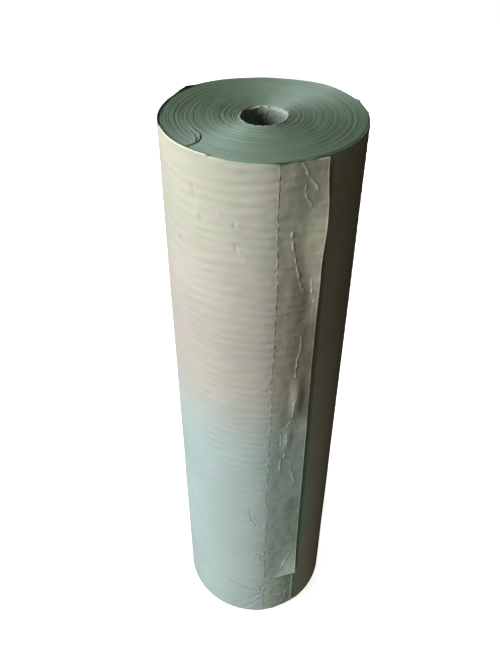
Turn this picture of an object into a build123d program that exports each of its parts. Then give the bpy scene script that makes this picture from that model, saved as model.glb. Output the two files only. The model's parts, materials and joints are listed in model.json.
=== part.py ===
"""A standing roll of building paper, closed along its free edge by two strips of pasted paper tape.

The origin is the centre of the base. +Z runs up the roll's axis and -Y is the roll's front.
"""

import math
import os

from build123d import *

# Wound paper, in millimetres
web_width = 1050.0
roll_diameter = 285.0
bore_diameter = 70.0

# Turns on the two ends: rings of wound paper with a fine groove outside each of them
turn_rings = 15
turn_groove_width = 0.9
turn_groove_depth = 0.8

# Outer turns, which stand a little away from the tightly wound paper at both ends
outer_turns_thickness = 2.2
outer_turns_gap = 0.9
outer_turns_gap_depth = 8.0

# Paper tape and the layer of paste under it
tape_thickness = 0.6
paste_thickness = 0.3

# Upper strip: stuck down along its left part, loose and straight along its right part
upper_strip_left_angle = 8.4
upper_strip_stuck_width = 30.0
upper_strip_loose_width = 36.0
upper_strip_top_inset = 3.0

# Lower strip: stuck down over its whole width
lower_strip_left_angle = 8.0
lower_strip_width = 62.0
lower_strip_length = 116.0
lower_strip_bottom_inset = 2.0

# Gap between the two strips' ends
strip_end_gap = 0.3

# Sizes worked out from the ones above
roll_radius = roll_diameter / 2
bore_radius = bore_diameter / 2
wound_radius = roll_radius - outer_turns_thickness - outer_turns_gap
ring_pitch = (wound_radius - bore_radius) / turn_rings
tape_inner_radius = roll_radius + paste_thickness
lower_strip_top = lower_strip_bottom_inset + lower_strip_length
upper_strip_bottom = lower_strip_top + strip_end_gap
upper_strip_length = web_width - upper_strip_top_inset - upper_strip_bottom

# Direction of the roll's front, in degrees from +X; strip angles are counted from it towards +X
front_direction = -90.0


def end_profile(end_height, inwards):
    """Points across one end of the roll, from the bore to the rim, with the grooves between the turns."""
    groove_floor = end_height + inwards * turn_groove_depth
    gap_floor = end_height + inwards * outer_turns_gap_depth
    points = [(bore_radius, end_height)]
    for ring in range(1, turn_rings):
        ring_edge = bore_radius + ring * ring_pitch
        points.append((ring_edge - turn_groove_width, end_height))
        points.append((ring_edge - turn_groove_width / 2, groove_floor))
        points.append((ring_edge, end_height))
    points.append((wound_radius, end_height))
    points.append((wound_radius, gap_floor))
    points.append((wound_radius + outer_turns_gap, gap_floor))
    points.append((wound_radius + outer_turns_gap, end_height))
    points.append((roll_radius, end_height))
    return points


def arc_degrees(arc_length):
    """Angle that a length of tape covers on the roll."""
    return math.degrees(arc_length / tape_inner_radius)


# Wound paper: a half section through the roll, turned about its axis
with BuildPart() as paper_roll:
    with BuildSketch(Plane.XZ):
        with BuildLine():
            base_points = end_profile(0.0, 1.0)
            top_points = end_profile(web_width, -1.0)
            Polyline(*base_points, *reversed(top_points), close=True)
        make_face()
    revolve(axis=Axis.Z)

# Upper strip: an arc on the roll that runs on as a straight, loose edge
with BuildPart() as closing_strip_upper:
    with BuildSketch(Plane.XY.offset(upper_strip_bottom)):
        with BuildLine():
            stuck_arc = CenterArc(
                (0, 0),
                tape_inner_radius,
                front_direction + upper_strip_left_angle,
                arc_degrees(upper_strip_stuck_width),
            )
            PolarLine(stuck_arc @ 1, upper_strip_loose_width, direction=stuck_arc % 1)
            offset(amount=tape_thickness, side=Side.RIGHT)
        make_face()
    extrude(amount=upper_strip_length)

# Lower strip: an arc on the roll over its whole width
with BuildPart() as closing_strip_lower:
    with BuildSketch(Plane.XY.offset(lower_strip_bottom_inset)):
        with BuildLine():
            CenterArc(
                (0, 0),
                tape_inner_radius,
                front_direction + lower_strip_left_angle,
                arc_degrees(lower_strip_width),
            )
            offset(amount=tape_thickness, side=Side.RIGHT)
        make_face()
    extrude(amount=lower_strip_length)

paper_roll.part.label = "paper_roll"
closing_strip_upper.part.label = "closing_strip_upper"
closing_strip_lower.part.label = "closing_strip_lower"

os.makedirs("parts", exist_ok=True)
export_step(paper_roll.part, "parts/paper_roll.step")
export_step(closing_strip_upper.part, "parts/closing_strip_upper.step")
export_step(closing_strip_lower.part, "parts/closing_strip_lower.step")
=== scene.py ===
"""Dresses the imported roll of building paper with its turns, torn edges, wrinkles and paper finishes."""

import json
import math
import random

import bmesh
import bpy
from bpy.props import FloatProperty, FloatVectorProperty, PointerProperty
from bpy.types import NodeSocket, Operator, Panel, PropertyGroup
from mathutils import Matrix, Vector, noise
from mathutils.geometry import intersect_point_line


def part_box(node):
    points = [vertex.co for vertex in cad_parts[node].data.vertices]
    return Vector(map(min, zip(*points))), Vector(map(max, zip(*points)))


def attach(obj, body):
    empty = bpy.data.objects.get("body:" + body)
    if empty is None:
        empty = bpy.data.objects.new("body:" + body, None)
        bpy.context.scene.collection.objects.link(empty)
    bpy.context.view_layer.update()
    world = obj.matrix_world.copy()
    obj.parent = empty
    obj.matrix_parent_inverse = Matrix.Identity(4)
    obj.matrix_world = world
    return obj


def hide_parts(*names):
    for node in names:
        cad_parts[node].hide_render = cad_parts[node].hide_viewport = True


bl_info = {
    "name": "Roll of building paper",
    "version": (1, 0, 0),
    "blender": (4, 5, 0),
    "location": "View3D > Sidebar > Paper roll",
    "description": "Builds the looks of a standing roll of building paper around its solids",
    "category": "Object",
}

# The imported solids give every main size, in metres
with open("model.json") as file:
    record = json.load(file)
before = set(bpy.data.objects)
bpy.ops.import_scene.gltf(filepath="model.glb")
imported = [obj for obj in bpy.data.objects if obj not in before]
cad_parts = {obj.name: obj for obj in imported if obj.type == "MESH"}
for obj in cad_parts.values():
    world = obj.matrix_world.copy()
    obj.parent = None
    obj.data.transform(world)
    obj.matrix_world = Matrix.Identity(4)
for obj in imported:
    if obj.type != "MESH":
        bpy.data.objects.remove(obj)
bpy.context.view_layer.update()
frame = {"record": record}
ROLL_LOW, ROLL_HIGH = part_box("paper_roll")
UPPER_LOW, UPPER_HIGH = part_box("closing_strip_upper")
LOWER_LOW, LOWER_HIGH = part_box("closing_strip_lower")
BORE_MOUNT = next(mount for mount in frame["record"]["mounts"] if mount["name"] == "bore")

MM = 0.001
ROLL_RADIUS = (ROLL_HIGH.x - ROLL_LOW.x) / 2 / MM
ROLL_HEIGHT = ROLL_HIGH.z / MM
BORE_RADIUS = BORE_MOUNT["dims"]["r_mm"]

# Places on the side are (degrees from the front towards +X, millimetres above the floor).
# The outer turn's torn free edge, from the floor up
FREE_EDGE = (
    (8.7, 0), (7.3, 81), (7.8, 146), (7.4, 202), (8.1, 303), (9.0, 338), (9.6, 356), (7.0, 388),
    (6.9, 400), (7.7, 451), (8.6, 580), (8.2, 670), (8.8, 752), (9.4, 873), (8.4, 990), (8.8, 1050),
)
FREE_EDGE_MIDDLE = 8.4

# Damage to the outer turn's face: a long fold, and tears with a raised lip
LONG_FOLD = ((-25, 109), (-15, 100), (-6, 92), (7.5, 81))
TEARS = (
    ((-5.0, 358), (-3.8, 345), (-3.0, 326)),
    ((-2.6, 339), (-1.4, 326), (0.9, 309)),
    ((0.8, 217), (3.4, 219), (5.4, 210), (6.2, 193)),
    ((0.6, 124), (2.4, 117)),
    ((4.6, 104), (6.0, 96), (7.3, 84)),
)
TORN_FROM, TORN_TO, TORN_HEIGHT = -45, 12, 380

# Pleats that run down and left from the tear at the free edge: their start, direction and spacing (mm)
FAN_CENTRE = (7.5, 81)
PLEAT_TURN = math.radians(38)
PLEAT_SPACING = 10

# Scuffs near the top: hollows that hold dirt, and rubbed places that stand up
DARK_SCUFFS = (
    ((-39.2, 1006), (-38.2, 991)),
    ((-34.6, 966), (-34.2, 957)),
    ((-14.3, 963), (-14.1, 957)),
    ((-51.0, 916), (-50.4, 909)),
    ((-13.6, 931), (-13.0, 922)),
)
LIGHT_SCUFFS = (
    ((-36.4, 976), (-34.8, 965)),
    ((-38.0, 963), (-37.2, 955)),
    ((-30.4, 959), (-30.0, 955)),
    ((-23.4, 972), (-23.0, 970)),
    ((-12.1, 965), (-12.0, 961)),
    ((-12.3, 927), (-10.2, 915)),
    ((-8.8, 912), (-8.0, 906)),
)
SCUFFED_FROM, SCUFFED_TO, SCUFFED_HEIGHT = -54, -6, 895
SCUFF_REACH = 3.4

# Degrees that the strips lie under the free edge
STRIP_TUCK = 0.35

# Where the paste under the upper strip ends: (millimetres above the floor, and from its left edge)
PASTE_END = (
    (118, 12), (160, 14), (206, 16), (330, 17), (434, 16), (469, 18), (520, 16), (572, 14), (600, 26),
    (640, 30), (690, 33), (770, 36), (830, 40), (850, 37), (870, 30), (904, 25), (952, 18), (985, 30),
    (1008, 24), (1020, 30), (1047, 24),
)

# How far the upper strip's loose side bends: (millimetres above the floor, degrees away from the roll)
FLAP_BEND = (
    (118, 16), (150, 12), (185, 5), (215, -1), (260, -3), (330, -1), (434, -1), (530, 1), (585, -1),
    (620, -3), (650, 1), (700, 0), (770, 1), (810, 13), (850, 18), (890, 13), (950, 9), (1000, 4),
    (1047, 1),
)

# How far the upper strip's right edge swings out near the top: (millimetres above the floor, degrees)
EDGE_SWING = (
    (890, 0), (913, 0.4), (931, 1.1), (960, 1.9), (986, 1.9), (1005, 1.2), (1025, 0.4), (1047, 0),
)

# Where the upper strip stands off the roll in low tents:
# (degrees, millimetres above the floor, half width round, half height, rise)
STRIP_TENTS = (
    (25.0, 645, 15, 60, 2.6),
    (20.5, 548, 11, 40, 1.0),
    (22.0, 352, 18, 70, 1.0),
)

# Sharp creases in the two strips
STRIP_CREASES = (
    ((19.9, 1047), (25.3, 1022), (29.1, 1010)),
    ((22.4, 1016), (21.3, 1007), (25.8, 987)),
    ((16.1, 952), (17.2, 924), (19.3, 904), (21.8, 870), (24.5, 855)),
    ((28.7, 872), (29.3, 855), (30.2, 842), (31.4, 831)),
    ((25.6, 770), (25.6, 746), (24.3, 728), (23.3, 701), (23.2, 689)),
    ((24.3, 637), (23.2, 631), (23.1, 601)),
    ((22.1, 591), (19.1, 578), (15.0, 572)),
    ((15.9, 563), (16.3, 548), (16.1, 536)),
    ((19.5, 562), (19.8, 550), (19.4, 539)),
    ((19.2, 512), (18.8, 502)),
    ((16.2, 498), (16.0, 484), (16.6, 470)),
    ((23.7, 469), (27.1, 434)),
    ((27.4, 206), (24.6, 184), (21.4, 160)),
)
LOWER_CREASES = (
    ((18.5, 100), (26.0, 92), (31.0, 96)),
    ((16.0, 58), (24.0, 50), (29.5, 57)),
    ((27.0, 60), (26.0, 34), (22.5, 12)),
    ((20.0, 26), (15.5, 6)),
)

# The split among the turns on the top end: (millimetres from the axis, degrees)
TOP_SPLIT = (
    (102.2, -63), (101.1, -57.7), (101.2, -52.8), (104.8, -48.3), (109.6, -45.4), (115.4, -43.4),
    (121.3, -42.7), (129.8, -42.4), (137.5, -43.2),
)
TOP_SHORT_SPLIT = ((108.0, -57.1), (109.2, -52.9), (111.3, -49.2), (115.1, -46.0), (119.0, -44.2))

# How far the innermost turns lean into the bore at the top: (degrees from the front, millimetres)
LIP_LEAN = ((0, -1.6), (25, -1.2), (60, 1.8), (90, 4.0), (135, 5.6), (180, 6.2))

# Where the side's painted light tints change, in metres: up the roll, and to the right, where the cool tint
# fades on the shaded side
CREAM_FROM, CREAM_FULL = 0.76, 1.02
COOL_GREY_FULL, COOL_GREY_TO = 0.50, 0.70
COOL_FADE_FROM, COOL_FADE_TO = 0.085, 0.118

# The seed keeps the uneven spacing of the rings the same from run to run
RING_SEED = 11

# The camera: how far away and how high above the top, in radii of the roll, and its turns in degrees
CAMERA_AWAY, CAMERA_ABOVE = 6.275, 2.672
CAMERA_PITCH, CAMERA_YAW, CAMERA_TILT = 39.98, -1.0, 0.47
SENSOR_WIDTH = 36


def linear(hex_colour):
    """Turns an sRGB hex colour into linear red, green, blue and alpha."""
    channels = [int(hex_colour[place:place + 2], 16) / 255 for place in (1, 3, 5)]
    curve = [c / 12.92 if c <= 0.04045 else ((c + 0.055) / 1.055) ** 2.4 for c in channels]
    return (*curve, 1.0)


def ease(low, high, value):
    """Smooth step from 0 at low to 1 at high."""
    share = min(1.0, max(0.0, (value - low) / (high - low)))
    return share * share * (3 - 2 * share)


def hump(middle, half_width, value):
    """Smooth bump of height 1 around a middle value."""
    return 1 - ease(0, half_width, abs(value - middle))


def plateau(rise_from, rise_to, fall_from, fall_to, value):
    """Smooth step up from 0 to 1, and down again further on."""
    return ease(rise_from, rise_to, value) * (1 - ease(fall_from, fall_to, value))


def between(table, value):
    """Reads a value off a table of (key, value) pairs, straight between them."""
    if value <= table[0][0]:
        return table[0][1]
    for (key_a, value_a), (key_b, value_b) in zip(table, table[1:]):
        if value <= key_b:
            return value_a + (value_b - value_a) * (value - key_a) / (key_b - key_a)
    return table[-1][1]


def smoothed(table, value, reach):
    """Reads a value off a table with its corners rounded over a reach to both sides."""
    return sum(between(table, value + reach * share) for share in (-1, -0.5, 0, 0.5, 1)) / 5


def turned(angle_from, angle_to):
    """Signed turn in degrees from one angle to another, the short way round."""
    return (angle_to - angle_from + 180) % 360 - 180


def round_noise(angle, waves, third):
    """Noise that joins up round the roll: more waves make it finer, and the third place varies it."""
    turn = math.radians(angle)
    return noise.noise((waves * math.sin(turn), waves * math.cos(turn), third))


def roll_point(angle, radius, height):
    """Point in metres from degrees round the roll and millimetres from its axis and the floor."""
    turn = math.radians(angle)
    return Vector((radius * math.sin(turn), -radius * math.cos(turn), height)) * MM


def roll_place(co):
    """Degrees round the roll, and millimetres from its axis and above the floor, of a point in metres."""
    return math.degrees(math.atan2(co.x, -co.y)), math.hypot(co.x, co.y) / MM, co.z / MM


def unrolled(place):
    """Place on the side as millimetres round and up."""
    return Vector((math.radians(place[0]) * ROLL_RADIUS, place[1]))


def on_end(place):
    """Place on an end face, from (millimetres from the axis, degrees), as flat millimetres."""
    turn = math.radians(place[1])
    return Vector((place[0] * math.sin(turn), -place[0] * math.cos(turn)))


def off_line(point, line):
    """Distance from a flat point to a line of points, and the side of the line that it lies on."""
    nearest, side = 1e9, 1.0
    for start, end in zip(line, line[1:]):
        on_line, share = intersect_point_line(point, start, end)
        foot = start if share < 0 else end if share > 1 else on_line.to_2d()
        distance = (point - foot).length
        if distance < nearest:
            nearest = distance
            side = math.copysign(1.0, (end - start).cross(point - start))
    return nearest, side


def flat_lines(table):
    """Lines of places on the side as flat lines in millimetres."""
    return [[unrolled(place) for place in line] for line in table]


FOLD_LINE = flat_lines([LONG_FOLD])[0]
DARK_SCUFF_LINES = flat_lines(DARK_SCUFFS)
LIGHT_SCUFF_LINES = flat_lines(LIGHT_SCUFFS)
TEAR_LINES = flat_lines(TEARS)
CREASE_LINES = flat_lines(STRIP_CREASES)
LOWER_CREASE_LINES = flat_lines(LOWER_CREASES)
SPLIT_LINE = [on_end(place) for place in TOP_SPLIT]
SHORT_SPLIT_LINE = [on_end(place) for place in TOP_SHORT_SPLIT]
EDGE_BY_HEIGHT = [(height, angle) for angle, height in FREE_EDGE]


def free_edge_angle(height):
    """Angle of the outer turn's torn free edge at a height, with its uneven fray."""
    fray = 0.4 * noise.noise((height / 10, 7, 0)) + 0.3 * noise.noise((height / 4.3, 2, 0))
    fray += 0.35 * ease(800, 950, height) * noise.noise((height / 6, 9, 0))
    return between(EDGE_BY_HEIGHT, height) + fray * (0.45 + 0.55 * ease(450, 700, height))


def length_setting(name, description, size_mm):
    """A length that starts from millimetres."""
    return FloatProperty(name=name, description=description, default=size_mm * MM, unit="LENGTH")


def colour_setting(name, description, hex_colour):
    """A colour that starts from an sRGB hex value."""
    return FloatVectorProperty(name=name, description=description, default=linear(hex_colour),
                               subtype="COLOR", size=4, min=0, max=1)


class PaperRollSizes(PropertyGroup):
    """Sizes of the paper's turns, ripples and loose edges."""

    ring_width: length_setting(
        "Ring width", "Mean width of a ring on the ends, each of several turns", 1.9)
    ring_depth: length_setting(
        "Ring depth", "Depth of the grooves between rings of turns, for a ring of 2 mm", 0.36)
    outer_turn: length_setting(
        "Outer turn", "Thickness of the outer turns, which stand off the wound paper", 1.8)
    inner_turn: length_setting(
        "Inner turn", "Thickness of each of the two loose turns round the bore", 1.0)
    ripple_spacing: length_setting(
        "Ripple spacing", "Distance between the ripples that run round the roll", 16)
    ripple_height: length_setting(
        "Ripple height", "Height of the ripples that run round the roll", 0.32)
    tape: length_setting("Tape", "Thickness of the paper tape of the closing strips", 0.45)
    right_edge: FloatProperty(
        name="Strip's right edge", description="Angle of the strips' clean right edge from the front",
        default=math.radians(34.6), unit="ROTATION")


class PaperRollColours(PropertyGroup):
    """Colours of the papers."""

    # The face colours carry painted light tints: cream at the top, pinkish grey above the middle, cool grey
    # low down
    face_top: colour_setting("Paper face, top", "Cream of the roll's side near the top", "#c0c2b5")
    face_middle: colour_setting(
        "Paper face, middle", "Pinkish grey of the side above its middle", "#bbb7b2")
    face_low: colour_setting("Paper face, lower", "Cool grey of the side's lower half", "#aabcbf")
    # The bore colour is a darker, cooler copy of the face paper: painted shade inside the bore
    bore: colour_setting("Bore", "Darker grey of the paper inside the bore", "#8f9b95")
    edge: colour_setting("Cut edges", "Grey-green of the cut paper on the ends", "#698162")
    # The colour between turns is painted shade in the gaps
    edge_deep: colour_setting("Between turns", "Dark olive in the gaps between turns", "#454c3d")
    tape: colour_setting("Paper tape", "Tint of the tape over the colour of the roll's side", "#f0f1e8")


class PaperRollStage(PropertyGroup):
    """Lights and camera."""

    key_strength: FloatProperty(
        name="Key light", description="Strength of the light from the left", default=530)
    top_strength: FloatProperty(
        name="Top light", description="Strength of the soft light from above", default=26)
    fill_strength: FloatProperty(
        name="Front fill", description="Strength of the low light from the front", default=1.9)
    back_strength: FloatProperty(
        name="Back fill", description="Strength of the light on the far side", default=55)
    sky_strength: FloatProperty(
        name="Sky", description="Strength of the even light from all round", default=0.028)
    lens: FloatProperty(
        name="Lens", description="Focal length of the camera", default=38.45, unit="CAMERA")


def add_node(tree, kind, inputs=None, **settings):
    """Adds one node, with its own settings, and its inputs as values or as sockets to link from."""
    made = tree.nodes.new(kind)
    for name, value in settings.items():
        setattr(made, name, value)
    for name, value in (inputs or {}).items():
        if isinstance(value, NodeSocket):
            tree.links.new(value, made.inputs[name])
        else:
            made.inputs[name].default_value = value
    return made


def new_material(name):
    """An empty node material and its output node."""
    material = bpy.data.materials.new(name)
    material.use_nodes = True
    material.node_tree.nodes.clear()
    return material, material.node_tree, add_node(material.node_tree, "ShaderNodeOutputMaterial")


def per_metre(size_mm):
    """Texture scale on object coordinates for a pattern of a real size in millimetres."""
    return 1 / (size_mm * MM)


def side_tint(tree, place, colours):
    """Colour of the paper's face by height, with painted light tints: cream at the top, then pinkish grey,
    then cool grey.

    The cool grey light tint fades into the pinkish one on the right side, which is in shade.
    """
    parts = add_node(tree, "ShaderNodeSeparateXYZ", {0: place})
    height = parts.outputs["Z"]
    right = add_node(tree, "ShaderNodeMapRange",
                     {0: parts.outputs["X"], 1: COOL_FADE_FROM, 2: COOL_FADE_TO},
                     interpolation_type="SMOOTHSTEP")
    cream = add_node(tree, "ShaderNodeMapRange", {0: height, 1: CREAM_FROM, 2: CREAM_FULL},
                     interpolation_type="SMOOTHSTEP")
    above = add_node(tree, "ShaderNodeMapRange", {0: height, 1: COOL_GREY_FULL, 2: COOL_GREY_TO},
                     interpolation_type="SMOOTHSTEP")
    low = add_node(tree, "ShaderNodeMix",
                   {0: right.outputs[0], 6: colours.face_low, 7: colours.face_middle}, data_type="RGBA")
    high = add_node(tree, "ShaderNodeMix",
                    {0: cream.outputs[0], 6: colours.face_middle, 7: colours.face_top}, data_type="RGBA")
    tint = add_node(tree, "ShaderNodeMix",
                    {0: above.outputs[0], 6: low.outputs[2], 7: high.outputs[2]}, data_type="RGBA")
    return tint.outputs[2]


def mottle(tree, place, size_mm, darkest, lightest, detail, roughness=0.5):
    """A texture with patches of a real size, and the shade from darkest to lightest that they give."""
    texture = add_node(tree, "ShaderNodeTexNoise",
                       {"Vector": place, "Scale": per_metre(size_mm), "Detail": detail,
                        "Roughness": roughness}).outputs[0]
    shade = add_node(tree, "ShaderNodeMapRange",
                     {0: texture, 1: 0.3, 2: 0.7, 3: darkest, 4: lightest}).outputs[0]
    return texture, shade


def matt_paper(tree, output, base, shades, bumps, roughness, gloss):
    """Matt paper's surface: a colour times all its shades, with bumps as (texture, strength, millimetres)."""
    shade, *other_shades = shades
    for other in other_shades:
        shade = add_node(tree, "ShaderNodeMath", {0: shade, 1: other}, operation="MULTIPLY").outputs[0]
    colour = add_node(tree, "ShaderNodeVectorMath", {0: base, 3: shade}, operation="SCALE")
    under = {}
    for texture, strength, height_mm in bumps:
        bump = add_node(tree, "ShaderNodeBump",
                        {"Height": texture, "Strength": strength, "Distance": height_mm * MM, **under})
        under = {"Normal": bump.outputs[0]}
    paper = add_node(tree, "ShaderNodeBsdfPrincipled",
                     {"Base Color": colour.outputs[0], "Roughness": roughness, "IOR": 1.45,
                      "Specular IOR Level": gloss, **under})
    tree.links.new(paper.outputs[0], output.inputs["Surface"])


def building_paper(colours):
    """Recycled building paper, calendered: matt grey-cream with short fibres and ripples from winding.

    Its real fibres are under a millimetre wide and are drawn coarser, so that they show. Painted shade
    darkens it along folds, tears, gaps and the rim, and dirt darkens its scuffs; rubbing, and a painted
    highlight on the rolled rim and the bore's far lip, make its crests lighter.
    """
    stain_mm, cloud_mm, fibre_mm, band_mm = 34, 90, 2.2, 11
    material, tree, output = new_material("recycled_building_paper")
    place = add_node(tree, "ShaderNodeTexCoord").outputs["Object"]
    stain = add_node(tree, "ShaderNodeTexNoise",
                     {"Vector": place, "Scale": per_metre(stain_mm), "Detail": 3})
    stained = add_node(tree, "ShaderNodeMapRange", {0: stain.outputs[0], 1: 0.4, 2: 0.6})
    tint = add_node(tree, "ShaderNodeMix",
                    {0: stained.outputs[0], 6: linear("#fffcfd"), 7: linear("#fafef8")},
                    data_type="RGBA")
    base = add_node(tree, "ShaderNodeVectorMath",
                    {0: side_tint(tree, place, colours), 1: tint.outputs[2]}, operation="MULTIPLY")
    cloudy = mottle(tree, place, cloud_mm, 0.93, 1.05, 4)[1]
    fibre_place = add_node(tree, "ShaderNodeMapping", {0: place, 3: (1, 1, 2.2)})
    fibre, fibres = mottle(tree, fibre_place.outputs[0], fibre_mm, 0.94, 1.05, 5, 0.7)
    painted_shade_and_dirt = add_node(tree, "ShaderNodeAttribute", attribute_name="painted_shade_and_dirt")
    shade_and_dirt = add_node(tree, "ShaderNodeMapRange", {0: painted_shade_and_dirt.outputs["Fac"], 1: 0, 2: 1, 3: 1, 4: 0.4})
    crest = add_node(tree, "ShaderNodeAttribute", attribute_name="crest")
    painted_light_and_wear = add_node(tree, "ShaderNodeMapRange", {0: crest.outputs["Fac"], 1: 0, 2: 1, 3: 1, 4: 1.3})
    band_place = add_node(tree, "ShaderNodeMapping", {0: place, 3: (0.3, 0.3, 1)})
    bands = add_node(tree, "ShaderNodeTexNoise",
                     {"Vector": band_place.outputs[0], "Scale": per_metre(band_mm), "Detail": 2,
                      "Roughness": 0.4})
    shades = (cloudy, fibres, shade_and_dirt.outputs[0], painted_light_and_wear.outputs[0])
    bumps = ((bands.outputs[0], 0.8, 1.0), (fibre, 0.35, 0.25))
    matt_paper(tree, output, base.outputs[0], shades, bumps, 0.85, 0.25)
    return material


def bore_paper(colours):
    """The paper inside the bore: the face paper drawn darker and cooler as painted shade, matt, with short
    fibres drawn coarse, and a painted highlight on its crests.
    """
    fibre_mm = 2.5
    material, tree, output = new_material("bore_paper_in_painted_shade")
    place = add_node(tree, "ShaderNodeTexCoord").outputs["Object"]
    fibre, fibres = mottle(tree, place, fibre_mm, 0.9, 1.06, 5, 0.7)
    crest = add_node(tree, "ShaderNodeAttribute", attribute_name="crest")
    painted_light_and_wear = add_node(tree, "ShaderNodeMapRange", {0: crest.outputs["Fac"], 1: 0, 2: 1, 3: 1, 4: 1.5})
    shades = (fibres, painted_light_and_wear.outputs[0])
    matt_paper(tree, output, colours.bore[:3], shades, [(fibre, 0.4, 0.3)], 0.9, 0.2)
    return material


def cut_paper_edges(colours):
    """Slit edges of many turns: grey-green, with dark lines round the axis that are painted shade in the gaps
    between turns, and a sheen across them.

    A real turn is about a third of a millimetre thick: the lines are drawn coarser, so that they show.
    They are clearest at the left and right of the end, as in the photograph. The slitting knife's drag
    turns the sheen a little off the turns, the gaps between turns have little of it, and the high IOR
    stands for the gloss of tightly packed edges.
    """
    line_mm, warp_mm, waver_mm = 3.6, 45, 2.5
    material, tree, output = new_material("slit_paper_edges")
    place = add_node(tree, "ShaderNodeTexCoord").outputs["Object"]
    warp = add_node(tree, "ShaderNodeTexNoise",
                    {"Vector": place, "Scale": per_metre(warp_mm), "Detail": 2})
    parts = add_node(tree, "ShaderNodeSeparateXYZ", {0: place})
    across = add_node(tree, "ShaderNodeCombineXYZ", {0: parts.outputs["X"], 1: parts.outputs["Y"]})
    radius = add_node(tree, "ShaderNodeVectorMath", {0: across.outputs[0]}, operation="LENGTH")
    wavy = add_node(tree, "ShaderNodeMath",
                    {0: warp.outputs[0], 1: waver_mm * MM, 2: radius.outputs["Value"]},
                    operation="MULTIPLY_ADD")
    lines = add_node(tree, "ShaderNodeTexNoise",
                     {"W": wavy.outputs[0], "Scale": per_metre(line_mm), "Detail": 3, "Roughness": 0.65},
                     noise_dimensions="1D")
    away = add_node(tree, "ShaderNodeVectorMath", {0: across.outputs[0]}, operation="NORMALIZE")
    away_parts = add_node(tree, "ShaderNodeSeparateXYZ", {0: away.outputs[0]})
    beside = add_node(tree, "ShaderNodeMath", {0: away_parts.outputs["X"]}, operation="ABSOLUTE")
    # The dark lines are painted shade, darkest at the left and right of the end where the key light crosses
    # the rings; the attribute read below adds painted shade where the end sinks, in the split and along the
    # rim
    clear = add_node(tree, "ShaderNodeMapRange",
                     {0: beside.outputs[0], 1: 0.25, 2: 0.85, 3: 0.35, 4: 1.0})
    groove = add_node(tree, "ShaderNodeAttribute", attribute_name="painted_shade_and_dirt")
    fine = add_node(tree, "ShaderNodeMapRange",
                    {0: lines.outputs[0], 1: 0.34, 2: 0.56, 3: 0.95, 4: 0.0})
    depth = add_node(tree, "ShaderNodeMath",
                     {0: fine.outputs[0], 1: clear.outputs[0], 2: groove.outputs["Fac"]},
                     operation="MULTIPLY_ADD", use_clamp=True)
    colour = add_node(tree, "ShaderNodeMix",
                      {0: depth.outputs[0], 6: colours.edge, 7: colours.edge_deep}, data_type="RGBA")
    sheen = add_node(tree, "ShaderNodeMapRange",
                     {0: groove.outputs["Fac"], 1: 0.6, 2: 1, 3: 1, 4: 0.1})
    relief = add_node(tree, "ShaderNodeBump",
                      {"Height": lines.outputs[0], "Strength": 0.55, "Distance": 0.5 * MM})
    paper = add_node(tree, "ShaderNodeBsdfPrincipled",
                     {"Base Color": colour.outputs[2], "Roughness": 0.88, "IOR": 2.2,
                      "Specular IOR Level": sheen.outputs[0], "Specular Tint": linear("#e6ffff"),
                      "Anisotropic": 0.7, "Anisotropic Rotation": 0.022, "Tangent": across.outputs[0],
                      "Normal": relief.outputs[0]})
    tree.links.new(paper.outputs[0], output.inputs["Surface"])
    return material


def paper_tape(colours):
    """Gummed paper tape: matt brownish grey, cockled by the paste, with fibres drawn coarse.

    It is lighter where crest is above 0: painted highlights on its creases and raised edges, and painted
    light on the lower strip's left part. It is darker where crest is below 0: a painted shadow along the
    upper strip's top end and under the outer turn's free edge. Its upper half is drawn lighter.
    """
    cloud_mm, fibre_mm = 20, 1.8
    lighter_from, lighter_to = 0.5, 0.75
    material, tree, output = new_material("gummed_paper_tape")
    place = add_node(tree, "ShaderNodeTexCoord").outputs["Object"]
    cloud, cloudy = mottle(tree, place, cloud_mm, 0.86, 1.08, 5, 0.65)
    fibre, fibres = mottle(tree, place, fibre_mm, 0.93, 1.05, 4)
    crest = add_node(tree, "ShaderNodeAttribute", attribute_name="crest")
    painted_light_and_wear = add_node(tree, "ShaderNodeMapRange",
                      {0: crest.outputs["Fac"], 1: -1, 2: 1, 3: 0.1, 4: 1.9})
    height = add_node(tree, "ShaderNodeSeparateXYZ", {0: place}).outputs["Z"]
    lighter_above = add_node(tree, "ShaderNodeMapRange", {0: height, 1: lighter_from, 2: lighter_to, 3: 1, 4: 1.2})
    brown = add_node(tree, "ShaderNodeVectorMath",
                     {0: side_tint(tree, place, colours), 1: colours.tape[:3]}, operation="MULTIPLY")
    shades = (cloudy, fibres, painted_light_and_wear.outputs[0], lighter_above.outputs[0])
    bumps = ((cloud, 0.35, 1.2), (fibre, 0.35, 0.25))
    matt_paper(tree, output, brown.outputs[0], shades, bumps, 0.8, 0.3)
    return material


def finished_material(name, maker, *settings):
    """The material of that name, made on first use."""
    return bpy.data.materials.get(name) or maker(*settings)


def finish_piece(name, bm, materials, node):
    """Turns a bmesh into a finished piece that rides on the roll and stands for a solid."""
    mesh = bpy.data.meshes.new(name)
    bm.to_mesh(mesh)
    bm.free()
    for material in materials:
        mesh.materials.append(material)
    piece = bpy.data.objects.new(name, mesh)
    bpy.context.scene.collection.objects.link(piece)
    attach(piece, "root")
    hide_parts(node)


def loop_profile(bm, corners, angle):
    """A closed loop of edges in a half plane through the axis, from (radius, height) corners."""
    verts = [bm.verts.new(roll_point(angle, radius, height)) for radius, height in corners]
    return [bm.edges.new(pair) for pair in zip(verts, verts[1:] + verts[:1])]


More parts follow.
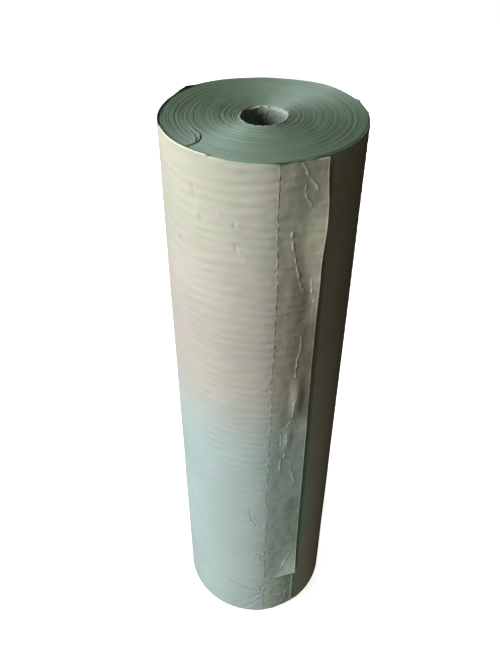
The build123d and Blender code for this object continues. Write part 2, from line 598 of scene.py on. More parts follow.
def spin_sectors(bm, profile, sectors):
    """Spins a profile right round the axis, sector by sector, each with its own number of steps."""
    geometry = profile
    for sweep, steps in sectors:
        spun = bmesh.ops.spin(bm, geom=geometry, cent=(0, 0, 0), axis=(0, 0, 1),
                              angle=math.radians(sweep), steps=steps, use_merge=sweep == 360)
        geometry = spun["geom_last"]
    bmesh.ops.remove_doubles(bm, verts=bm.verts, dist=0.002 * MM)
    bmesh.ops.recalc_face_normals(bm, faces=bm.faces)
    for face in bm.faces:
        face.smooth = True


# In the shapes below, angles are in degrees from the front and lengths in millimetres. Plain whole
# numbers in a noise call only set one pattern apart from another.
def winding_ripples(angle, height, sizes):
    """Ripples round the roll from its winding, worn flatter towards the floor, in millimetres."""
    around = math.radians(angle) * ROLL_RADIUS
    drift = 8 * noise.noise((around / 70, height / 45, 1))
    waves = math.sin((height + drift) / (sizes.ripple_spacing / MM) * math.tau)
    swell = max(0.0, 0.65 + 1.1 * noise.noise((around / 30, height / 26, 5)))
    wear = 0.2 + 0.55 * ease(330, 560, height) + 0.25 * ease(600, 850, height)
    relief = sizes.ripple_height / MM * waves * swell * wear
    relief += 0.35 * round_noise(angle, 2, height / 120)
    return relief + 0.3 * wear * noise.noise((around / 20, height / 10, 11))


def fold_and_tears(around, height):
    """Relief in millimetres, painted shade and crests of the long fold, the tears and the pleats near the
    base.
    """
    point = Vector((around, height))
    distance, side = off_line(point, FOLD_LINE)
    relief = 0.9 * hump(0, 7, distance) if side > 0 else -0.6 * hump(0, 4, distance)
    # Painted shade along the fold and in the tears
    shade_and_dirt, crest = 0.8 * hump(0, 2, distance), 0.0
    uneven = max(0.2, 0.8 + 1.1 * noise.noise((around / 6, height / 6, 14)))
    for line in TEAR_LINES:
        distance, side = off_line(point, line)
        relief -= 0.6 * uneven * hump(0, 2, distance)
        shade_and_dirt = max(shade_and_dirt, 0.9 * uneven * hump(0, 1.9, distance))
        if side > 0:
            relief += 0.65 * uneven * hump(2.5, 3.2, distance)
            crest = max(crest, 0.7 * uneven * hump(2.8, 1.8, distance))
    away = unrolled(FAN_CENTRE) - point
    along = away.x * math.cos(PLEAT_TURN) + away.y * math.sin(PLEAT_TURN)
    across = away.y * math.cos(PLEAT_TURN) - away.x * math.sin(PLEAT_TURN)
    fade = plateau(-3, 6, 38, 60, across) * plateau(4, 16, 60, 130, along)
    spread = across / (1 + along / 90)
    waver = 1.6 * noise.noise((along / 30, across / 14, 4))
    folds = math.sin(spread / PLEAT_SPACING * math.tau + waver)
    relief += fade * (0.17 * folds + 0.4 * noise.noise((across / 11, along / 45, 9)))
    return relief, shade_and_dirt, crest


def scuffs(around, height):
    """Relief in millimetres, dirt and crests of the scuffs near the top."""
    point = Vector((around, height))
    relief, shade_and_dirt, crest = 0.0, 0.0, 0.0
    for line in DARK_SCUFF_LINES:
        worn = hump(0, SCUFF_REACH, off_line(point, line)[0])
        relief -= 0.4 * worn
        shade_and_dirt = max(shade_and_dirt, 0.28 * worn)
    for line in LIGHT_SCUFF_LINES:
        worn = hump(0, SCUFF_REACH, off_line(point, line)[0])
        relief += 0.35 * worn
        crest = max(crest, 0.35 * worn)
    return relief, shade_and_dirt, crest


def side_relief(angle, height, sizes):
    """Outward relief of the outer turn's face in millimetres, and its painted shade and dirt and its crests
    from 0 to 1.
    """
    around = math.radians(angle) * ROLL_RADIUS
    damage, shade_and_dirt, crest = 0.0, 0.0, 0.0
    if TORN_FROM < angle < TORN_TO and height < TORN_HEIGHT:
        damage, shade_and_dirt, crest = fold_and_tears(around, height)
    elif SCUFFED_FROM < angle < SCUFFED_TO and height > SCUFFED_HEIGHT:
        damage, shade_and_dirt, crest = scuffs(around, height)
    return winding_ripples(angle, height, sizes) + damage, shade_and_dirt, crest


def free_edge_lip(angle, height):
    """Rise of the outer turn towards its free edge, over the strips' left margin, in millimetres."""
    turn = turned(FREE_EDGE_MIDDLE, angle)
    if turn > 0.05:
        return 0.0
    puckers = 0.3 * noise.noise((height / 6, turn / 3, 3))
    puckers += 0.35 * noise.noise((height / 15, turn / 4, 8))
    lift = 0.9 + (0.15 + 0.6 * noise.noise((height / 11, 1, 4))) * ease(780, 960, height)
    return lift * ease(-20, -1, turn) + puckers * ease(-5, 0, turn)


def rolled_lip(angle, height):
    """Share of the lip that is rolled over at the front left of the rim: by angle, and by height."""
    round_share = plateau(-66, -60, -29, -28, angle)
    return round_share, ease(ROLL_HEIGHT - 3.2, ROLL_HEIGHT - 1, height)


def face_painted_shade(angle, height):
    """Painted shade on the outer turn from 0 to 1: a painted shadow in the gap beside the strips' loose right
    edge, and a painted shade line along the top of the rim at the front and on the ragged rim at the back
    left.
    """
    gap = plateau(31, 34, 36.6, 39.5, angle) * plateau(110, 130, 1030, 1046, height)
    low_gap = plateau(29.5, 32, 34.2, 37, angle) * (1 - ease(108, 122, height))
    rim = 0.3 * ease(-20, -12, angle) + 0.7 * ease(2, 9, angle)
    rim = rim * (1 - ease(20, 24, angle)) + hump(31, 7, angle) + hump(-127, 12, angle)
    rim *= ease(ROLL_HEIGHT - 1.5, ROLL_HEIGHT - 0.4, height)
    return max(0.8 * gap, 0.7 * low_gap, rim)


def rim_highlight_and_flecks(angle, height):
    """Lighter crests on the outer turn from 0 to 1: a painted highlight on the rolled rim at the left, and
    pale torn flecks on the free edge.
    """
    round_share, up_share = rolled_lip(angle, height)
    rim = 0.35 * plateau(-90, -75, -20, 0, angle) + 0.65 * round_share
    flecks = 0.0
    if -1.0 < turned(FREE_EDGE_MIDDLE, angle) < 0.05:
        fleck = noise.noise((height / 5, angle, 31)) + 0.4 * noise.noise((height / 17, angle, 34))
        flecks = 1.1 * ease(0.05, 0.45, fleck) * ease(600, 850, height)
    return max(up_share * rim, flecks)


def rim_rise(angle):
    """How far the outer turn's top edge stands above the roll's end, in millimetres."""
    rise = 2.0 * plateau(-80, -66, -28.6, -28.0, angle)
    ragged = 0.65 + 0.5 * noise.noise((angle / 1.9, 0, 2)) + 0.35 * noise.noise((angle / 0.8, 0, 6))
    rise += 4.6 * hump(-127, 11, angle) * ragged - 1.2 * hump(12, 14, angle)
    rise -= 4.0 * hump(180, 50, abs(angle)) + 0.6 * hump(85, 60, angle)
    rise += 3.4 * hump(111, 4, angle) + 2.2 * hump(93, 3, angle) + 1.8 * hump(70, 3, angle)
    return rise + 0.3 * noise.noise((angle / 7, 3, 1))


def bottom_notch(angle):
    """How far the roll's bottom edge is worn away below the strips, in millimetres."""
    worn = 2.5 + 2.5 * ease(17, 30, angle) + 1.2 * noise.noise((angle / 2.2, 6, 0))
    return worn * plateau(15.5, 18, 31, 40, angle)


class PAPERROLL_OT_outer_turn(Operator):
    """Wraps the outer turns, with their ripples, torn free edge, folds and tears"""

    bl_idname = "paper_roll.outer_turn"
    bl_label = "Outer turn"

    def execute(self, context):
        """Spins the outer turn's section round the roll and shapes its face."""
        sizes = context.scene.paper_roll_sizes
        colours = context.scene.paper_roll_colours
        inner = ROLL_RADIUS - sizes.outer_turn / MM
        lip, rim_height, end_height = 0.5, 12, 20
        lower_rows, upper_rows, rim_rows = 170, 235, 10
        corners = [
            (ROLL_RADIUS, lip),
            (ROLL_RADIUS, TORN_HEIGHT),
            (ROLL_RADIUS, ROLL_HEIGHT - rim_height),
            (ROLL_RADIUS, ROLL_HEIGHT - lip),
            (ROLL_RADIUS - lip, ROLL_HEIGHT),
            (inner + lip, ROLL_HEIGHT),
            (inner, ROLL_HEIGHT - lip),
            (inner, ROLL_HEIGHT - end_height),
            (inner, end_height),
            (inner, lip),
            (inner + lip, 0),
            (ROLL_RADIUS - lip, 0),
        ]
        bm = bmesh.new()
        shade_and_dirt_layer = bm.verts.layers.float.new("painted_shade_and_dirt")
        crest_layer = bm.verts.layers.float.new("crest")
        start, face_start, strip_stop = -45.0, -30.0, 33
        edges = loop_profile(bm, corners, start)
        for edge, cuts in zip(edges, (lower_rows, upper_rows, rim_rows)):
            bmesh.ops.subdivide_edges(bm, edges=[edge], cuts=cuts)
        # The free edge is one narrow sector, where the face steps down to the turn below it
        edge_margin, edge_step = 0.14, 0.12
        # Sectors as (degrees, steps), finest on the torn face and at the ragged rim behind on the left
        sectors = [
            (face_start - start, 16),
            (FREE_EDGE_MIDDLE - edge_margin - face_start, 74),
            (edge_margin, 1),
            (edge_step, 1),
            (strip_stop - FREE_EDGE_MIDDLE - edge_step, 10),
            (7, 9),
            (20, 8),
            (159, 38),
            (28, 34),
            (53, 14),
            (15.0, 10),
        ]
        spin_sectors(bm, bm.verts[:] + bm.edges[:], sectors)
        for face in bm.faces:
            angle, radius, height = roll_place(face.calc_center_median())
            on_lip = -72 < angle < -18 and height > ROLL_HEIGHT / 2
            face.material_index = 1 if radius < ROLL_RADIUS - lip / 2 and not on_lip else 0
        for vert in bm.verts:
            angle, radius, height = roll_place(vert.co)
            relief, shade_and_dirt, crest = 0.0, 0.0, 0.0
            if radius > ROLL_RADIUS - lip * 1.5:
                relief, shade_and_dirt, crest = side_relief(angle, height, sizes)
                relief += free_edge_lip(angle, height)
            vert[shade_and_dirt_layer] = max(shade_and_dirt, face_painted_shade(angle, height))
            vert[crest_layer] = max(crest, rim_highlight_and_flecks(angle, height))
            round_share, up_share = rolled_lip(angle, height)
            radius += relief + 0.7 * round_share * up_share
            fray = free_edge_angle(height) - FREE_EDGE_MIDDLE
            moved = angle + fray * hump(0, 9, turned(FREE_EDGE_MIDDLE, angle))
            top_share = ease(ROLL_HEIGHT - 18, ROLL_HEIGHT, height)
            height += rim_rise(angle) * top_share + bottom_notch(angle) * (1 - ease(0, 22, height))
            vert.co = roll_point(moved, radius, height)
        materials = [
            finished_material("recycled_building_paper", building_paper, colours),
            finished_material("slit_paper_edges", cut_paper_edges, colours),
        ]
        finish_piece("outer_turn", bm, materials, "paper_roll")
        return {"FINISHED"}


def ring_edges(inner, outer, width, draw):
    """Uneven radii of the grooves between rings of turns, from the inner radius to the outer one."""
    edges = [inner]
    while edges[-1] < outer - 2 * width:
        edges.append(edges[-1] + width * draw.uniform(0.55, 1.5))
    edges.append(outer)
    return edges


def end_rings(edges, end_height, inwards, depth, draw):
    """Profile points across an end: a crest on each ring and a groove between rings, some of them deep."""
    points = []
    for inner, outer in zip(edges, edges[1:]):
        groove = depth * draw.choice((0.6, 0.8, 0.9, 1.0, 1.2, 2.0)) * (outer - inner) / 2
        crest = 0.4 * draw.random()
        points.append((inner, end_height + inwards * groove))
        points.append((inner * 0.5 + outer * 0.5, end_height + inwards * crest))
    return points


def near_top(height):
    """Share from 0 to 1 over the uppermost part of the bore, where its turns lean and crumple."""
    return ease(ROLL_HEIGHT - 45, ROLL_HEIGHT - 2, height)


def bent_turn(angle, radius, height, inner, outer):
    """Radius of a wound turn after it bends, leaves gaps at the bore and rim, and leans into the bore."""
    bend = 1.6 * round_noise(angle, 2.2, radius / 26)
    bend *= plateau(inner, inner + 14, outer - 14, outer, radius)
    gap = 2.2 * hump(107, 10, angle) + 3.2 * hump(83, 13, angle) + 2.0 * hump(48, 16, angle)
    gap *= 1 - ease(inner, inner + 9, radius)
    shrink = 2.2 * hump(-92, 34, angle) + 0.5 * hump(10, 60, angle)
    shrink *= ease(outer - 16, outer, radius)
    lean = between(LIP_LEAN, abs(angle)) * (1 - ease(inner, inner + 16, radius)) * near_top(height)
    return radius + bend + gap - shrink - lean


def split_depth(point):
    """Depth of the split among the turns on the top end, and how far its edges stand up."""
    depth, rise = 0.0, 0.0
    for line, deepest in ((SPLIT_LINE, 2.6), (SHORT_SPLIT_LINE, 1.6)):
        distance, side = off_line(point, line)
        depth = max(depth, deepest * hump(0, 1.3, distance))
        rise = max(rise, 0.7 * hump(1.6, 2.2, distance) if side < 0 else 0)
    return depth, rise


class PAPERROLL_OT_wound_turns(Operator):
    """Winds the turns of paper between the bore and the outer turn"""

    bl_idname = "paper_roll.wound_turns"
    bl_label = "Wound turns"

    def execute(self, context):
        """Spins a section with a crest on each ring of turns, then bends the rings and opens the split."""
        sizes = context.scene.paper_roll_sizes
        colours = context.scene.paper_roll_colours
        draw = random.Random(RING_SEED)
        bore_gap, outer_gap = 0.8, 0.4
        inner = BORE_RADIUS + 2 * sizes.inner_turn / MM + bore_gap
        outer = ROLL_RADIUS - sizes.outer_turn / MM - outer_gap
        width = sizes.ring_width / MM
        depth = sizes.ring_depth / MM
        top_edges = ring_edges(inner, outer, width, draw)
        base_edges = ring_edges(inner, outer, 3 * width, draw)
        top = end_rings(top_edges, ROLL_HEIGHT, -1, depth, draw)
        base = end_rings(base_edges, 0, 1, depth, draw)
        shoulder, end_height, bore_end = 2.0, 25, 12
        corners = [
            *top,
            (outer, ROLL_HEIGHT - shoulder),
            (outer, ROLL_HEIGHT - end_height),
            (outer, end_height),
            (outer, shoulder),
            *reversed(base),
            (inner, bore_end),
            (inner, ROLL_HEIGHT - 2.5 * bore_end),
            (inner, ROLL_HEIGHT - bore_end),
        ]
        bm = bmesh.new()
        shade_and_dirt_layer = bm.verts.layers.float.new("painted_shade_and_dirt")
        split_start = -64.0
        loop_profile(bm, corners, split_start)
        # Sectors as (degrees, steps), finest at the split
        sectors = [(30, 64), (94, 84), (60, 60), (176, 110)]
        spin_sectors(bm, bm.verts[:] + bm.edges[:], sectors)
        end_depth = 6
        for face in bm.faces:
            on_the_end = abs(face.normal.z) > 0.3
            face.material_index = 1 if on_the_end else 0
            face.smooth = not on_the_end
        for vert in bm.verts:
            angle, radius, height = roll_place(vert.co)
            turn = math.radians(angle)
            moved = bent_turn(angle, radius, height, inner, outer)
            shade_and_dirt = 0.0
            if height > ROLL_HEIGHT / 2:
                sunk = max(0.0, ROLL_HEIGHT - height)
                # Painted shade on the end: darker where it sinks between rings, in the split and in a line
                # along the rim at the front
                if sunk < end_depth:
                    shade_and_dirt = 0.5 * ease(0.8, 2.4, sunk)
                    if -66 < angle < -32 and radius > 100:
                        split, rise = split_depth(on_end((moved, angle)))
                        height += rise - split
                        shade_and_dirt = max(shade_and_dirt, ease(0.6, 2.6, split))
                    height += 0.5 * noise.noise((radius / 16, math.sin(turn) * 3, math.cos(turn) * 3))
                    height -= 2.0 * hump(180, 55, abs(angle)) * ease(95, 138, radius)
                    rim_line = plateau(-2, 9, 20, 24, angle) + hump(31, 7, angle)
                    shade_and_dirt = max(shade_and_dirt, 0.95 * rim_line * ease(outer - 1.8, outer - 0.6, radius))
            else:
                height += bottom_notch(angle) * ease(124, 139, radius) * (1 - ease(0, 22, height))
            vert[shade_and_dirt_layer] = shade_and_dirt
            vert.co = roll_point(angle, moved, height)
        materials = [
            finished_material("bore_paper_in_painted_shade", bore_paper, colours),
            finished_material("slit_paper_edges", cut_paper_edges, colours),
        ]
        finish_piece("wound_turns", bm, materials, "paper_roll")
        return {"FINISHED"}


class PAPERROLL_OT_inner_turn(Operator):
    """Lines the bore with the innermost turns, crumpled at the top"""

    bl_idname = "paper_roll.inner_turn"
    bl_label = "Innermost turns"

    def execute(self, context):
        """Spins a thin wall round the bore and crumples its upper edge."""
        sizes = context.scene.paper_roll_sizes
        colours = context.scene.paper_roll_colours
        thick = sizes.inner_turn / MM
        lip, loose, apart = 0.3, 60, 0.4
        bm = bmesh.new()
        crest_layer = bm.verts.layers.float.new("crest")
        for inner in (BORE_RADIUS, BORE_RADIUS + thick + apart):
            outer = inner + thick
            corners = [
                (inner, lip),
                (inner, ROLL_HEIGHT - loose),
                (inner, ROLL_HEIGHT - lip),
                (inner + lip, ROLL_HEIGHT),
                (outer - lip, ROLL_HEIGHT),
                (outer, ROLL_HEIGHT - lip),
                (outer, ROLL_HEIGHT - loose),
                (outer, lip),
                (outer - lip, 0),
                (inner + lip, 0),
            ]
            edges = loop_profile(bm, corners, 0.0)
            bmesh.ops.subdivide_edges(bm, edges=[edges[1], edges[5]], cuts=30)
            bmesh.ops.subdivide_edges(bm, edges=[edges[0], edges[6]], cuts=8)
        spin_sectors(bm, bm.verts[:] + bm.edges[:], [(360, 220)])
        between_turns = BORE_RADIUS + thick + apart / 2
        # Away from the front the tops take the lighter face paper, and at the front the bore's darker paper:
        # painted light on the lit far lip
        for face in bm.faces:
            at_front = abs(roll_place(face.calc_center_median())[0]) < 50
            face.material_index = 1 if face.normal.z > 0.3 and not at_front else 0
        for vert in bm.verts:
            angle, radius, height = roll_place(vert.co)
            outer_one = radius > between_turns
            rim = ease(ROLL_HEIGHT - 8, ROLL_HEIGHT, height)
            crumple = round_noise(angle, 2.6, height / 22)
            nibble = round_noise(angle, 8, height / 12)
            radius += near_top(height) * (0.9 * crumple + nibble - between(LIP_LEAN, abs(angle)))
            if outer_one:
                # pale is a painted highlight on the outer lip at the back of the bore, where the key light
                # falls in, with random paler bits
                pale = max(0.6 * nibble, ease(40, 110, abs(angle)))
                vert[crest_layer] = pale * ease(ROLL_HEIGHT - 7, ROLL_HEIGHT - 2, height)
                fold = hump(170, 9, abs(angle)) * rim
                radius -= 2.6 * fold * (0.5 + nibble)
                sunk = 3.2 * ease(70, 150, abs(angle))
                height += rim * (0.3 + 1.6 * nibble + 0.8 * hump(75, 50, angle) - sunk) + 1.6 * fold
            else:
                sunk = 4.5 * ease(30, 70, angle) + 3.0 * ease(100, 160, -angle)
                height -= ease(ROLL_HEIGHT - 20, ROLL_HEIGHT, height) * (sunk - 1.4 * nibble)
            vert.co = roll_point(angle, radius, height)
        materials = [
            finished_material("bore_paper_in_painted_shade", bore_paper, colours),
            finished_material("recycled_building_paper", building_paper, colours),
        ]
        finish_piece("innermost_turns", bm, materials, "paper_roll")
        return {"FINISHED"}


def strip_sheet(columns, rows, thickness, place_of):
    """A thin sheet from a grid, each of its points placed by its shares across and up the strip."""
    bm = bmesh.new()
    crest_layer = bm.verts.layers.float.new("crest")
    bmesh.ops.create_grid(bm, x_segments=columns, y_segments=rows, size=0.5)
    for vert in bm.verts:
        point, crest = place_of(vert.co.x + 0.5, vert.co.y + 0.5)
        vert.co = point
        vert[crest_layer] = crest
    bmesh.ops.recalc_face_normals(bm, faces=bm.faces)
    outward = bm.faces[0].calc_center_median()
    if bm.faces[0].normal.dot(Vector((outward.x, outward.y, 0))) < 0:
        bmesh.ops.reverse_faces(bm, faces=bm.faces)
    bmesh.ops.solidify(bm, geom=bm.faces[:], thickness=thickness)
    bmesh.ops.recalc_face_normals(bm, faces=bm.faces)
    for face in bm.faces:
        face.smooth = True
    return bm


def crease_rise(angle, height, lines, reach):
    """Rise of the nearest sharp creases at a place on a strip, and their crest: a painted highlight along
    each crease.
    """
    point = unrolled((angle, height))
    point.x += 1.6 * noise.noise((point.x / 7, height / 7, 12))
    point.y += 1.6 * noise.noise((point.x / 7, height / 7, 15))
    fullness = max(0.15, 0.7 + 1.0 * noise.noise((point.x / 8, height / 7, 18)))
    rise, crest = 0.0, 0.0
    for line in lines:
        low = min(place.y for place in line) - reach
        high = max(place.y for place in line) + reach
        if low < height < high:
            distance = off_line(point, line)[0]
            rise = max(rise, fullness * max(0.0, 1 - distance / reach) ** 1.4)
            crest = max(crest, fullness * hump(0, 1.4, distance))
    return rise, crest


class PAPERROLL_OT_upper_strip(Operator):
    """Pastes the long closing strip, creased and loose along its right side"""

    bl_idname = "paper_roll.upper_strip"
    bl_label = "Upper closing strip"

    def execute(self, context):
        """Lays a thin sheet on the roll and lets it run on, bent a little, where the paste ends."""
        sizes = context.scene.paper_roll_sizes
        colours = context.scene.paper_roll_colours
        right = math.degrees(sizes.right_edge)
        low, high = UPPER_LOW.z / MM, UPPER_HIGH.z / MM
        paste_gap, end_slant, crease_reach = 0.35, 22, 2.8
        seat = ROLL_RADIUS + paste_gap + sizes.tape / MM
        columns, rows, flap_steps = 78, 460, 6

        def place_of(across_share, up_share):
            """Point of the strip, and how much of a crest it is."""
            height = low + (high - low) * up_share
            height += end_slant * across_share ** 1.5 * (1 - ease(0, 0.1, up_share))
            top_wave = 1.8 + 2.4 * ease(0.5, 1, across_share)
            top_wave += 0.8 * noise.noise((across_share * 5, 3, 3))
            height += top_wave * ease(0.9, 1, up_share)
            left = free_edge_angle(height) - STRIP_TUCK
            wave = 0.3 * noise.noise((height / 60, 2, 0)) + 0.12 * noise.noise((height / 9, 5, 0))
            wave += between(EDGE_SWING, height)
            paste = smoothed(PASTE_END, height, 12)
            paste_turn = math.radians(left) + paste / ROLL_RADIUS
            edge_x = ROLL_RADIUS * math.sin(math.radians(right + wave))
            loose_all = (edge_x - ROLL_RADIUS * math.sin(paste_turn)) / math.cos(paste_turn)
            across_all = paste + loose_all
            across = across_all * across_share
            stuck = min(across, paste)
            loose = across - stuck
            angle = left + math.degrees(stuck / ROLL_RADIUS)
            place_angle = left + math.degrees(across / ROLL_RADIUS)
            relief = 0.5 * side_relief(angle, height, sizes)[0] * (1 - ease(0, 10, loose))
            rise, crest = crease_rise(place_angle, height, CREASE_LINES, crease_reach)
            # Painted shadow: darker along the strip's top end, and along its left margin under the outer
            # turn's free edge
            crest -= 0.7 * ease(0.9965, 1, up_share) * (1 - ease(0.72, 0.86, across_share))
            crest -= 0.25 * (1 - ease(0.05, 0.3, across_share)) * ease(560, 800, height)
            cockle = 0.3 * noise.noise((across / 14, height / 24, 8))
            cockle += 0.1 * noise.noise((across / 6, height / 7, 9))
            tent = 0.0
            for middle, up, wide, tall, full in STRIP_TENTS:
                beside = math.radians(place_angle - middle) * ROLL_RADIUS
                tent += full * hump(0, wide, beside) * hump(up, tall, height)
            raised = 0.6 * rise + tent + max(-0.2, cockle) * ease(0, 6, across)
            curl = 0.35 * ease(across_all - 2, across_all, across)
            end_curl = 2.2 * (1 - ease(low, low + end_slant, height)) * ease(12, 40, across)
            turn = math.radians(angle)
            tangent = Vector((math.cos(turn), math.sin(turn), 0))
            tuck = 0.7 * (1 - ease(low, low + 5, height)) * (1 - ease(0.3, 0.5, across_share))
            point = roll_point(angle, seat + relief + raised + curl + end_curl - tuck, height)
            outward = roll_point(angle, 1, 0) / MM
            bend = math.radians(smoothed(FLAP_BEND, height, 14))
            flap = Vector()
            for step in range(flap_steps):
                lift = bend * ease(0.1, 0.75, loose * (step + 0.5) / flap_steps / loose_all)
                flap += (tangent * math.cos(lift) + outward * math.sin(lift)) * loose / flap_steps
            return point + flap * MM, crest

        bm = strip_sheet(columns, rows, sizes.tape, place_of)
        material = finished_material("gummed_paper_tape", paper_tape, colours)
        finish_piece("upper_strip", bm, [material], "closing_strip_upper")
        return {"FINISHED"}


class PAPERROLL_OT_lower_strip(Operator):
    """Pastes the short closing strip below the long one"""

    bl_idname = "paper_roll.lower_strip"
    bl_label = "Lower closing strip"

    def execute(self, context):
        """Lays a thin wrinkled sheet on the roll, slack at the right, its upper end under the long strip."""
        sizes = context.scene.paper_roll_sizes
        colours = context.scene.paper_roll_colours
        overlap, set_back, paste_gap, crease_reach = 9, 1.7, 0.25, 3.0
        low, high = LOWER_LOW.z / MM, LOWER_HIGH.z / MM + overlap
        right = math.degrees(sizes.right_edge) - set_back
        seat = ROLL_RADIUS + paste_gap + sizes.tape / MM
        # Right of the stuck part, the slack sheet stands half as far off as one that runs straight on
        stuck_degrees, slack = 8, 0.5
        columns, rows = 60, 84

        def place_of(across_share, up_share):
            """Point of the strip, and how much of a crest it is."""
            height = low + (high - low) * up_share
            left = free_edge_angle(height) - STRIP_TUCK
            edge = right + 0.3 * noise.noise((height / 12, 3, 0))
            angle = left + (edge - left) * across_share
            slack_turn = math.radians(max(0, angle - left - stuck_degrees))
            lift = slack * ROLL_RADIUS * (1 / math.cos(slack_turn) - 1)
            relief = 0.6 * side_relief(angle, height, sizes)[0]
            rise, crest = crease_rise(angle, height, LOWER_CREASE_LINES, crease_reach)
            cockle = 0.4 * noise.noise((angle / 5, height / 11, 2))
            cockle += 0.12 * noise.noise((angle / 2, height / 5, 6))
            under = 1 - ease(high - 16, high - 6, height)
            raised = (0.7 * rise + max(-0.1, cockle)) * under
            # Painted highlight on the raised right edge, and painted light that lightens the left part
            edge_share = ease(0.92, 0.97, across_share) * under
            crest = max(crest, 0.55 * edge_share, 0.25 * (1 - ease(0.45, 0.8, across_share)))
            raised += 0.5 * edge_share
            torn = 3.0 * hump(22, 5.5, angle) + 9.0 * ease(20, 33, angle)
            torn *= 1 - ease(0.0, 0.16, up_share)
            return roll_point(angle, seat + relief + raised + lift, height + torn), crest

        bm = strip_sheet(columns, rows, sizes.tape, place_of)
        material = finished_material("gummed_paper_tape", paper_tape, colours)
        finish_piece("lower_strip", bm, [material], "closing_strip_lower")
        return {"FINISHED"}


def floor_material():
    """Pale matt floor paint that glows, so that the floor is as pale as the background."""
    material, tree, output = new_material("pale_floor_paint")
    paint = add_node(tree, "ShaderNodeBsdfPrincipled",
                     {"Base Color": linear("#f4f4f2"), "Roughness": 0.9, "Specular IOR Level": 0.1,
                      "Emission Color": linear("#ffffff"), "Emission Strength": 0.86})
    tree.links.new(paint.outputs[0], output.inputs["Surface"])
    return material


def add_light(name, strength, place, aim, size, colour):
    """A light that shines at the roll's axis at a height, from (degrees round, degrees up, metres away)."""
    light = bpy.data.lights.new(name, "AREA")
    light.energy = strength
    light.shape = "RECTANGLE"
    light.size, light.size_y = size
    light.color = colour
    lamp = bpy.data.objects.new(name, light)
    azimuth, elevation, away = place
    rise = math.radians(elevation)
    from_light = roll_point(azimuth, math.cos(rise), math.sin(rise)) / MM
    lamp.location = Vector((0, 0, aim)) + from_light * away
    lamp.rotation_mode = "QUATERNION"
    lamp.rotation_quaternion = (-from_light).to_track_quat("-Z", "Y")
    lamp.visible_camera = False
    bpy.context.scene.collection.objects.link(lamp)


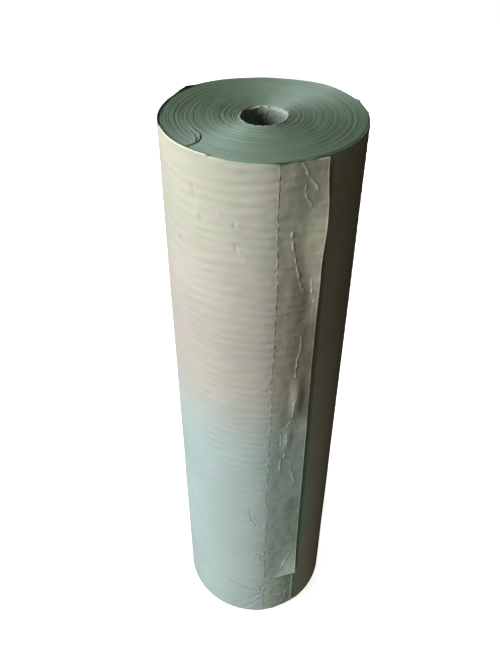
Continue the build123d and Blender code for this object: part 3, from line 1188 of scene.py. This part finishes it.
class PAPERROLL_OT_stage(Operator):
    """Sets the floor, the lights and the camera"""

    bl_idname = "paper_roll.stage"
    bl_label = "Stage"

    def execute(self, context):
        """Makes the floor, a key light at the left, a top light, two fills, an even sky and the camera."""
        stage = context.scene.paper_roll_stage
        floor_half, fill_aim = 30, 0.12
        top = ROLL_HIGH.z
        bm = bmesh.new()
        bmesh.ops.create_grid(bm, x_segments=1, y_segments=1, size=floor_half)
        mesh = bpy.data.meshes.new("floor")
        bm.to_mesh(mesh)
        bm.free()
        mesh.materials.append(floor_material())
        floor = bpy.data.objects.new("floor", mesh)
        # The floor's glow is only seen, and lights nothing
        floor.visible_diffuse = False
        floor.visible_glossy = False
        context.scene.collection.objects.link(floor)

        add_light("key_light", stage.key_strength, (-63, 16, 6.0), top, (2.0, 4.2), (1.0, 0.99, 0.96))
        add_light("top_light", stage.top_strength, (-60, 74, 3.0), top, (1.2, 1.2), (0.95, 0.98, 1.0))
        add_light("front_fill", stage.fill_strength, (4, 0, 1.1), fill_aim, (0.4, 0.2), (0.88, 0.9, 0.65))
        add_light("back_fill", stage.back_strength, (172, -9, 3.0), top, (1.4, 1.0), (1.0, 0.97, 0.92))

        # The camera sees a pale background, and the roll is lit by a faint even sky
        world = bpy.data.worlds.new("studio_light")
        world.use_nodes = True
        tree = world.node_tree
        tree.nodes.clear()
        path = add_node(tree, "ShaderNodeLightPath")
        even = add_node(tree, "ShaderNodeBackground",
                        {"Color": linear("#f9dab6"), "Strength": stage.sky_strength})
        pale = add_node(tree, "ShaderNodeBackground", {"Color": linear("#f1f1ef"), "Strength": 1.0})
        seen = add_node(tree, "ShaderNodeMixShader",
                        {0: path.outputs["Is Camera Ray"], 1: even.outputs[0], 2: pale.outputs[0]})
        add_node(tree, "ShaderNodeOutputWorld", {"Surface": seen.outputs[0]})
        context.scene.world = world
        context.scene.view_settings.view_transform = "Standard"

        data = bpy.data.cameras.new("camera")
        data.lens = stage.lens
        data.sensor_width = SENSOR_WIDTH
        camera = bpy.data.objects.new("camera", data)
        away, above = CAMERA_AWAY * ROLL_RADIUS * MM, CAMERA_ABOVE * ROLL_RADIUS * MM
        pitch, yaw, tilt = (math.radians(turn) for turn in (CAMERA_PITCH, CAMERA_YAW, CAMERA_TILT))
        looking = Matrix.Rotation(-yaw, 4, "Z") @ Matrix.Rotation(math.pi / 2 - pitch, 4, "X")
        place = Matrix.Translation((0, -away, top + above))
        camera.matrix_world = place @ looking @ Matrix.Rotation(tilt, 4, "Z")
        context.scene.collection.objects.link(camera)
        context.scene.camera = camera
        return {"FINISHED"}


class PAPERROLL_PT_panel(Panel):
    """Lists the steps and the settings in the sidebar."""

    bl_label = "Paper roll"
    bl_idname = "PAPERROLL_PT_panel"
    bl_space_type = "VIEW_3D"
    bl_region_type = "UI"
    bl_category = "Paper roll"

    def draw(self, context):
        """Draws one button for each step, then every setting."""
        for step in STEPS:
            self.layout.operator(step.bl_idname)
        for group in (context.scene.paper_roll_sizes, context.scene.paper_roll_colours,
                      context.scene.paper_roll_stage):
            for name in group.__annotations__:
                self.layout.prop(group, name)


STEPS = (
    PAPERROLL_OT_wound_turns,
    PAPERROLL_OT_outer_turn,
    PAPERROLL_OT_inner_turn,
    PAPERROLL_OT_upper_strip,
    PAPERROLL_OT_lower_strip,
    PAPERROLL_OT_stage,
)
CLASSES = (PaperRollSizes, PaperRollColours, PaperRollStage, *STEPS, PAPERROLL_PT_panel)


def register():
    """Registers the classes and puts the settings on the scene."""
    for cls in CLASSES:
        bpy.utils.register_class(cls)
    bpy.types.Scene.paper_roll_sizes = PointerProperty(type=PaperRollSizes)
    bpy.types.Scene.paper_roll_colours = PointerProperty(type=PaperRollColours)
    bpy.types.Scene.paper_roll_stage = PointerProperty(type=PaperRollStage)


def unregister():
    """Takes the settings off the scene and unregisters the classes."""
    del bpy.types.Scene.paper_roll_sizes
    del bpy.types.Scene.paper_roll_colours
    del bpy.types.Scene.paper_roll_stage
    for cls in reversed(CLASSES):
        bpy.utils.unregister_class(cls)


def main():
    """Runs every step in order."""
    register()
    bpy.ops.paper_roll.wound_turns()
    bpy.ops.paper_roll.outer_turn()
    bpy.ops.paper_roll.inner_turn()
    bpy.ops.paper_roll.upper_strip()
    bpy.ops.paper_roll.lower_strip()
    bpy.ops.paper_roll.stage()


if __name__ == "__main__":
    main()
